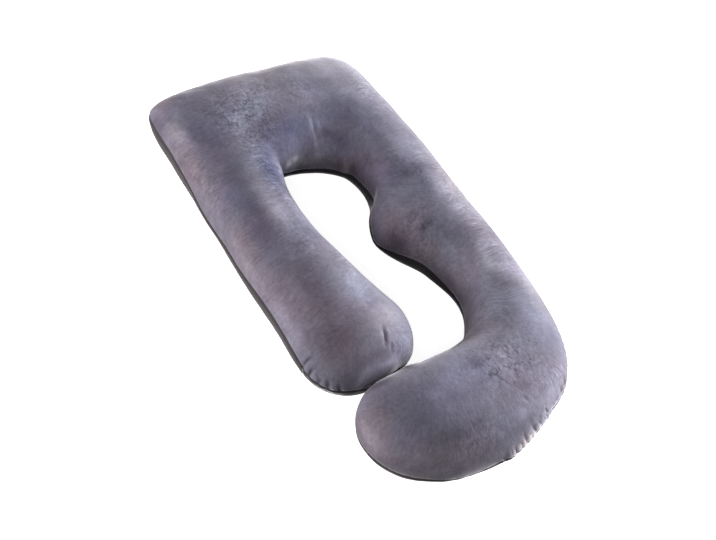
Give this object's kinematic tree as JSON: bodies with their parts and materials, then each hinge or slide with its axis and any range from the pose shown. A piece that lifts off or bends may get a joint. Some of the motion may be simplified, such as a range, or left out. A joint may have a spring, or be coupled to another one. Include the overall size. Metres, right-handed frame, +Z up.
{
  "type": "full body pillow",
  "caption": "G-shaped full body pillow in grey plush: a stuffed roll around a neck opening, with one straight arm and one arm that ends in a hook.",
  "frame": {"origin": "on the surface the pillow lies on, under the middle of its outline", "axes": "+Y towards the head end, +X towards the arm that carries the hook, +Z up"},
  "size_m": [0.6691, 1.2993, 0.1972],
  "materials": {
    "plush": "short-pile velvet plush, matt with a soft sheen at grazing angles"
  },
  "bodies": {
    "root": {"pillow": "plush"}
  },
  "joints": []
}
